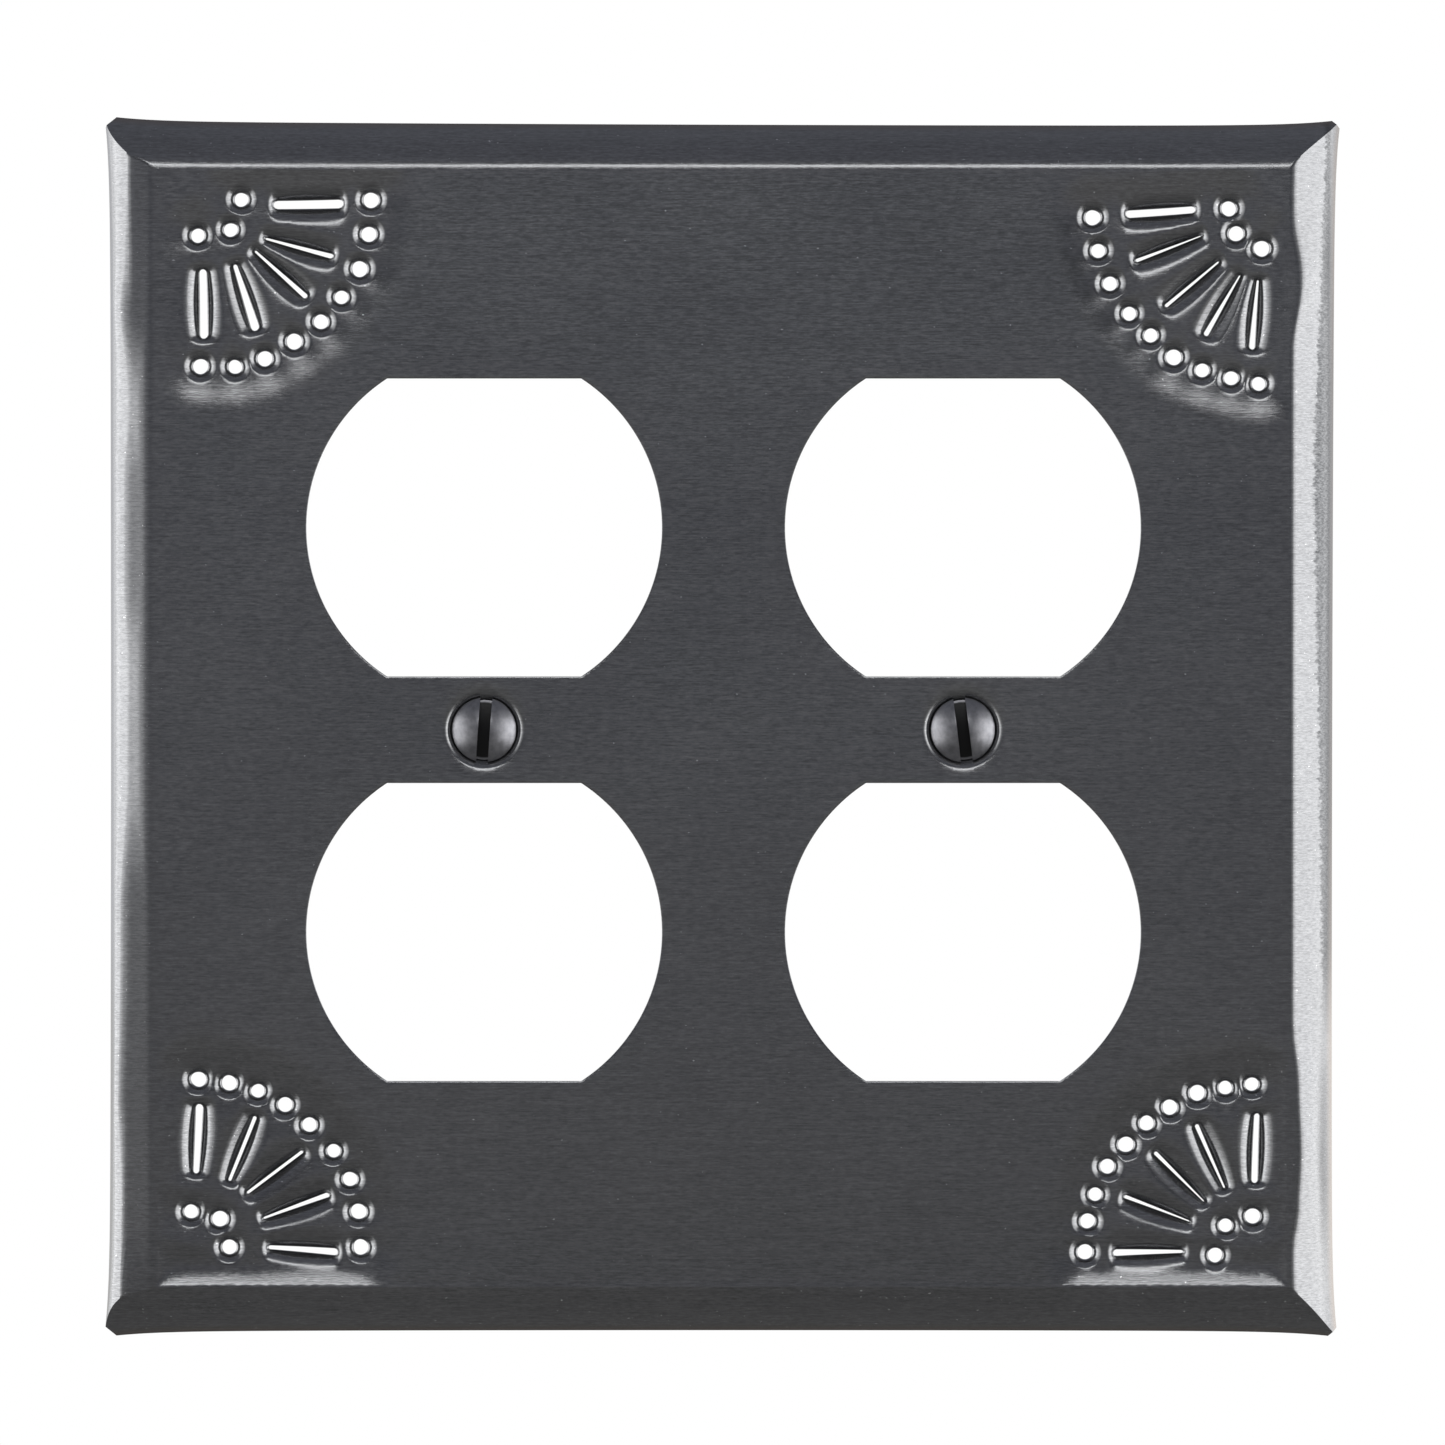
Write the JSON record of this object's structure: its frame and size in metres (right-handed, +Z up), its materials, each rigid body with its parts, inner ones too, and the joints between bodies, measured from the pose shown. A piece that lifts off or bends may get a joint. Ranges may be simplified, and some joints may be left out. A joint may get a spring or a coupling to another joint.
{
  "type": "wall plate cover",
  "caption": "Square pressed-steel wall plate for twin duplex receptacles, with dished screw holes, oval-head screws and a pierced fan in each corner.",
  "frame": {"origin": "on the wall plane, midway between the two screw holes", "axes": "+X to the right across the plate, +Y from the room into the wall, +Z up"},
  "size_m": [0.1182, 0.0138, 0.1172],
  "materials": {
    "dark_tinplate": "blackened, brushed along X, satin",
    "screw_steel": "blackened, satin, polished on the crown"
  },
  "bodies": {
    "plate": {"cover_plate": "dark_tinplate"},
    "left_screw": {"mounting_screw_left": "screw_steel"},
    "right_screw": {"mounting_screw_right": "screw_steel"}
  },
  "joints": [
    {"name": "left_screw_withdrawal", "type": "slide", "parent": "plate", "child": "left_screw", "axis": [0, -1, 0], "range_m": [0, 0.016]},
    {"name": "right_screw_withdrawal", "type": "slide", "parent": "plate", "child": "right_screw", "axis": [0, -1, 0], "range_m": [0, 0.016]}
  ]
}
